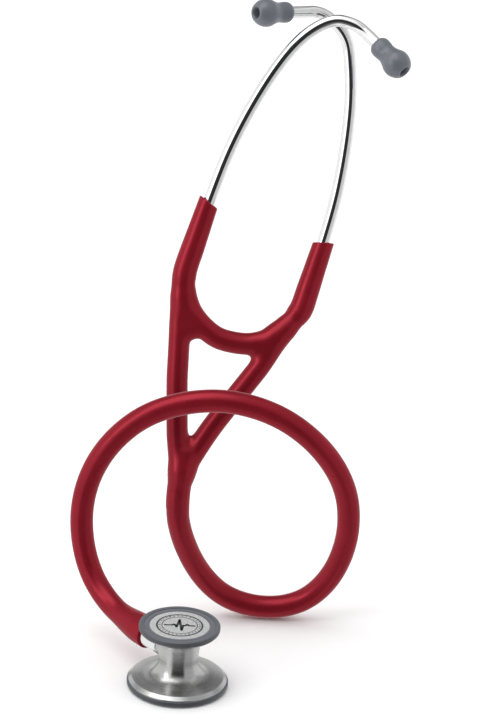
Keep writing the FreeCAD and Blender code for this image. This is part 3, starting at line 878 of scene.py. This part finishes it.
def add_eartube(side, name):
    """Polished tube along its bends; its end is inside the ear tip."""
    route = eartube_route(side)
    end = Vector(route[-1]) + tip_direction(side) * EARTUBE_TIP_LENGTH
    line, _ = evenly(smooth_line(route[:-1] + [tuple(end)]), 0.8)
    place = HEADSET @ arm_tilt(side)
    line = np.array([tuple(place @ Vector(p) * MM) for p in line])
    radii = np.full(len(line), EARTUBE_R * MM)
    tube = sweep("tube_" + name, line, radii, TUBE_SIDES)
    place_piece(tube, "arm_" + name, "tube_metal", TUBE_METAL, "eartube_" + name)


def smooth_profile(pairs, step):
    """Radius and height pairs along a smooth line through the given ones."""
    line, _ = through([(radius, 0, height) for radius, height in pairs], step)
    return [(radius, height) for radius, _, height in line]


def add_eartip(side, name):
    """Rear bead, waist, bulb and a soft lip round the open front."""
    route = eartube_route(side)
    place = HEADSET @ arm_tilt(side) @ Matrix.Translation(route[-1])
    turn = tip_direction(side).to_track_quat("Z", "Y").to_matrix().to_4x4()
    place = Matrix.Scale(MM, 4) @ place @ turn @ Matrix.Scale(1 / MM, 4)
    outside = [
        (2.85, 0.05), (3.5, 0.3), (4.2, 1.05), (4.68, 2.1), (4.8, 3.2), (4.72, 4.9), (4.55, 6.6),
        (4.75, 8.2), (5.4, 10.1), (6.12, 11.9), (6.42, 13.6), (6.2, 15.6), (5.45, 17.4),
        (4.5, 18.7), (3.7, 19.35), (3.1, 19.5), (2.65, 19.25),
    ]
    bore = [(2.4, 18.4), (2.1, 16.6), (1.7, 15.2), (1.7, 10.3)]
    socket = [(1.7, 10.0), (3.45, 10.0), (3.45, 1.4), (2.85, 1.2)]
    profile = smooth_profile(outside, 0.3) + smooth_profile(bore, 0.5) + socket
    tip = lathe("tip_" + name, profile, EARTIP_SIDES, place)
    place_piece(tip, "eartip_" + name, "eartip_silicone", SILICONE, "eartip_" + name)


for SIDE, NAME in SIDES:
    add_eartube(SIDE, NAME)
    add_eartip(SIDE, NAME)


# ---------------------------------------------------------------- chestpiece


def paint_wall_shade(rim):
    """The rims' walls get a duller copy of the rubber, and its darkness is painted shade on the
    faces that look sideways.
    """
    faces_up_or_down = 0.75
    rim.data.materials.append(RIM_PAINTED_SHADE)
    for polygon in rim.data.polygons:
        # faces that look sideways take the darker copy, as painted shade
        if abs(polygon.normal.z) < faces_up_or_down:
            polygon.material_index = 1


def add_rims():
    """Snap rims of both sides and the soft washer round the badge, as turned profiles."""
    adult = [
        (19.9, 0), (21.7, 0), (22.55, 0.5), (22.75, 1.2), (22.75, 2.45), (22.4, 2.8),
        (20.95, 2.8), (20.95, 0.4), (19.9, 0.4),
    ]
    rim = lathe("lower_rim", rounded(adult, 0.35), TURNED_SIDES)
    place_piece(rim, "chestpiece", "rim_rubber", RIM_RUBBER, "adult_rim")
    paint_wall_shade(rim)
    child = [
        (16.65, 27.4), (17.7, 27.4), (18.1, 27.8), (18.25, 29.55), (17.85, 29.95), (17.0, 30.0),
        (16.1, 29.92), (15.8, 29.6), (16.65, 29.6),
    ]
    rim = lathe("upper_rim", rounded(child, 0.3), TURNED_SIDES)
    place_piece(rim, "chestpiece", "rim_rubber", RIM_RUBBER, "child_rim")
    paint_wall_shade(rim)
    washer = [
        (13.4, 29.42), (16.6, 29.42), (16.6, 29.6), (15.7, 29.66), (14.6, 29.78), (13.7, 29.74),
        (13.4, 29.6),
    ]
    ring = lathe("upper_washer", rounded(washer, 0.2), TURNED_SIDES)
    place_piece(ring, "chestpiece", "rim_rubber", WASHER_RUBBER, "child_surround")


def strip(points, width, height):
    """Vertices and quads of a flat printed line of even width, in mm."""
    points = np.array(points, float)
    tangents = np.gradient(points, axis=0)
    tangents /= np.linalg.norm(tangents, axis=1)[:, None]
    sideways = np.stack([-tangents[:, 1], tangents[:, 0]], axis=1) * width / 2
    left = points + sideways
    right = points - sideways
    vertices = [(*p, height) for pair in zip(left, right) for p in pair]
    faces = [(2 * i, 2 * i + 1, 2 * i + 3, 2 * i + 2) for i in range(len(points) - 1)]
    return vertices, faces


def badge_disc():
    """The foil disc on the child diaphragm."""
    corners = [(0.02, BADGE_FOOT), (BADGE_R, BADGE_FOOT), (BADGE_R, BADGE_TOP), (0.02, BADGE_TOP)]
    disc = lathe("badge", rounded(corners, 0.05), TURNED_SIDES)
    place_piece(disc, "child_membrane", "badge_metal", FOIL, "child_badge")


def ring_points(radius, every=1):
    """Points once round a circle, 2 degrees apart or a multiple of it; the last is on the first."""
    turn = np.linspace(0, 2 * math.pi, 181)[::every]
    return np.stack([np.cos(turn), np.sin(turn)], axis=1) * radius


def dial_lines():
    """The dial's two rings and its ticks, as lines with their widths."""
    lines = [(ring_points(10.15), 0.8), (ring_points(7.9), 0.4)]
    ticks = 30
    tick_ring = 9.0
    for k in range(ticks):
        angle = math.radians(360 / ticks * k)
        outward = np.array([math.cos(angle), math.sin(angle)])
        reach = 1.2 if k % 5 == 0 else 0.7
        ends = [outward * (tick_ring - reach / 2), outward * (tick_ring + reach / 2)]
        lines.append((ends, 0.5))
    return lines


def heartbeat_lines():
    """The heartbeat's strokes, with a round dot at each corner, as lines with their widths."""
    width = 1.1
    beat = [
        (-6.6, 0), (-3.4, 0), (-2.6, 0.9), (-1.9, 0), (-1.3, -1.6), (-0.2, 5.4), (1.0, -4.6),
        (1.6, 0), (2.6, 0), (3.4, 1.2), (4.2, 0), (6.6, 0),
    ]
    lines = [([start, end], width) for start, end in zip(beat, beat[1:])]
    for corner in beat:
        lines.append((ring_points(width / 4, 12) + corner, width / 2))
    return lines


def badge_print():
    """The generic dial printed on the badge."""
    vertices = []
    faces = []
    for points, width in dial_lines() + heartbeat_lines():
        more, quads = strip(points, width, BADGE_TOP + PRINT_LIFT)
        faces += [tuple(k + len(vertices) for k in quad) for quad in quads]
        vertices += more
    mark = mesh_object("badge_print", [Vector(v) * MM for v in vertices], faces)
    place_piece(mark, "child_membrane", "badge_metal", PRINT)


add_rims()
badge_disc()
badge_print()


# ---------------------------------------------------------------- carried-over CAD nodes


def paint_nodes():
    """Finishes for the CAD nodes whose shape is already right."""
    finishes = {
        "chestpiece_body": STEEL,
        "adult_surround": WASHER_RUBBER,
        "adult_diaphragm": RESIN,
        "child_diaphragm": RESIN,
        "stem": POLISHED,
        "stem_o_ring": SEAL,
        "detent_ball": POLISHED,
        "detent_spring": SPRING_STEEL,
        "detent_screw": SPRING_STEEL,
        "leaf_spring": SPRING_STEEL,
        "eartip_ferrule_left": POLISHED,
        "eartip_ferrule_right": POLISHED,
    }
    for name, material in finishes.items():
        paint(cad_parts[name], material)


paint_nodes()


# ---------------------------------------------------------------- floor and light


def add_floor():
    """A wide pale table top; it fades into the white room."""
    half_width = 4.0
    drop = 0.0001
    glow_starts = 0.6
    glow_ends = 2.0
    full_glow = 0.5
    mesh = bpy.data.meshes.new("floor")
    bm = bmesh.new()
    bmesh.ops.create_grid(bm, x_segments=8, y_segments=8, size=half_width)
    bm.to_mesh(mesh)
    bm.free()
    floor = add_object("floor", mesh)
    floor.location = (0, 0, -drop)
    material, tree, shader, vector = new_material("pale_floor")
    grain = noise(tree, vector, 30.0)
    colour = two_colours(tree, grain, (0.90, 0.90, 0.90), (0.92, 0.92, 0.92))
    tree.links.new(colour, shader.inputs["Base Color"])
    shader.inputs["Roughness"].default_value = 0.6
    shader.inputs["Specular IOR Level"].default_value = 0.2
    # far from the object the floor glows a little, so that no edge shows against the room
    glow = step_up(tree, length_of(tree, vector), glow_starts, glow_ends, 0.0, full_glow)
    shader.inputs["Emission Color"].default_value = (1, 1, 1, 1)
    tree.links.new(glow, shader.inputs["Emission Strength"])
    paint(floor, material)
    floor.visible_glossy = False


def grey_ramp(tree, share, stops):
    """A value that runs through the stops, pairs of a place from 0 to 1 and a brightness."""
    ramp = tree.nodes.new("ShaderNodeValToRGB")
    elements = ramp.color_ramp.elements
    while len(elements) < len(stops):
        elements.new(0.5)
    for element, (place, value) in zip(elements, stops):
        element.position = place
        element.color = (value, value, value, 1)
    tree.links.new(share, ramp.inputs["Fac"])
    return ramp.outputs["Color"]


def tent_wall(tree, turn):
    """The wall's brightness by the turn from the front: grey on the right, two strips behind."""
    stops = [
        (-180, 0.95), (-160, 0.95), (-154, 0.35), (-151, 0.35), (-146, 1.0), (-44, 1.1), (10, 1.0),
        (34, 0.62), (88, 0.68), (100, 1.0), (150, 1.0), (158, 0.55), (168, 0.95), (180, 0.95),
    ]
    share = maths(tree, "ADD", maths(tree, "DIVIDE", turn, 2 * math.pi), 0.5)
    return grey_ramp(tree, share, [(degrees / 360 + 0.5, value) for degrees, value in stops])


def front_gap(tree, turn, z):
    """What the open front leaves of the wall's brightness: almost none, a little more low down."""
    across = maths(
        tree, "MULTIPLY",
        step_up(tree, turn, math.radians(-36), math.radians(-30)),
        step_up(tree, turn, math.radians(31), math.radians(40), 1.0, 0.0),
    )
    stops = [(-0.75, 0.0), (-0.55, 0.85), (-0.20, 0.85), (-0.12, 0.97), (0.60, 0.97), (0.70, 0.0)]
    share = maths(tree, "MULTIPLY", maths(tree, "ADD", z, 1.0), 0.5)
    upright = grey_ramp(tree, share, [((height + 1) / 2, value) for height, value in stops])
    return maths(tree, "SUBTRACT", 1.0, maths(tree, "MULTIPLY", across, upright))


def back_roof(tree, x, y, z):
    """The tent's roof at the back is greyer than its sides, most of all in its middle."""
    behind = maths(tree, "MULTIPLY", step_up(tree, z, 0.30, 0.50), step_up(tree, y, 0.05, 0.35))
    behind = maths(tree, "MULTIPLY", behind, step_up(tree, z, 0.82, 0.95, 1.0, 0.0))
    middle = step_up(tree, maths(tree, "ABSOLUTE", x), 0.06, 0.26, 0.93, 0.50)
    return maths(tree, "SUBTRACT", 1.0, maths(tree, "MULTIPLY", behind, middle))


def soft_light(tree, forward, z):
    """Light on dull surfaces: the open front, a little upwards, gives little of it."""
    level = maths(tree, "MULTIPLY", forward, 0.93)
    raised = maths(tree, "MULTIPLY", z, 0.37)
    facing = maths(tree, "ADD", level, raised)
    return step_up(tree, facing, 0.1, 0.9, SOFT_LIGHT, SOFT_LIGHT_FRONT)


def chosen(tree, when, other, this):
    """The second value where the switch is 1, and the first elsewhere."""
    mix = tree.nodes.new("ShaderNodeMix")
    tree.links.new(when, mix.inputs["Factor"])
    for socket, value in ((mix.inputs["A"], other), (mix.inputs["B"], this)):
        if isinstance(value, float):
            socket.default_value = value
        else:
            tree.links.new(value, socket)
    return mix.outputs["Result"]


def add_world():
    """A white tent with an open front, which reflections show; the backdrop is plain white."""
    world = bpy.data.worlds.new("room")
    bpy.context.scene.world = world
    world.use_nodes = True
    tree = world.node_tree
    coordinates = tree.nodes.new("ShaderNodeTexCoord")
    split = tree.nodes.new("ShaderNodeSeparateXYZ")
    tree.links.new(coordinates.outputs["Generated"], split.inputs["Vector"])
    x, y, z = (split.outputs[k] for k in "XYZ")
    forward = maths(tree, "MULTIPLY", y, -1.0)
    turn = maths(tree, "ARCTAN2", x, forward)
    wall = maths(tree, "MULTIPLY", tent_wall(tree, turn), front_gap(tree, turn, z))
    tent = maths(tree, "MULTIPLY", wall, back_roof(tree, x, y, z))
    path = tree.nodes.new("ShaderNodeLightPath")
    room = chosen(tree, path.outputs["Is Diffuse Ray"], tent, soft_light(tree, forward, z))
    room = chosen(tree, path.outputs["Is Camera Ray"], room, 1.0)
    background = tree.nodes["Background"]
    background.inputs["Color"].default_value = (1, 1, 1, 1)
    tree.links.new(room, background.inputs["Strength"])


def add_area(name, place, target, size, power):
    """A soft rectangular light that faces its target; metres and watts."""
    data = bpy.data.lights.new(name, "AREA")
    data.shape = "RECTANGLE"
    data.size = size[0]
    data.size_y = size[1]
    data.energy = power
    light = add_object(name, data)
    light.location = place
    direction = Vector(target) - Vector(place)
    light.rotation_euler = direction.to_track_quat("-Z", "Y").to_euler()


def add_lights():
    """A large light above on the left, and a tall one at the left."""
    add_area("top_light", (-0.5, -0.2, 1.9), (0.02, 0.06, 0.1), (1.6, 1.6), 14.0)
    add_area("left_light", (-1.3, -0.7, 0.9), (0.02, 0.06, 0.12), (0.5, 1.2), 5.0)


add_floor()
add_world()
add_lights()
bpy.context.scene.view_settings.view_transform = "Standard"
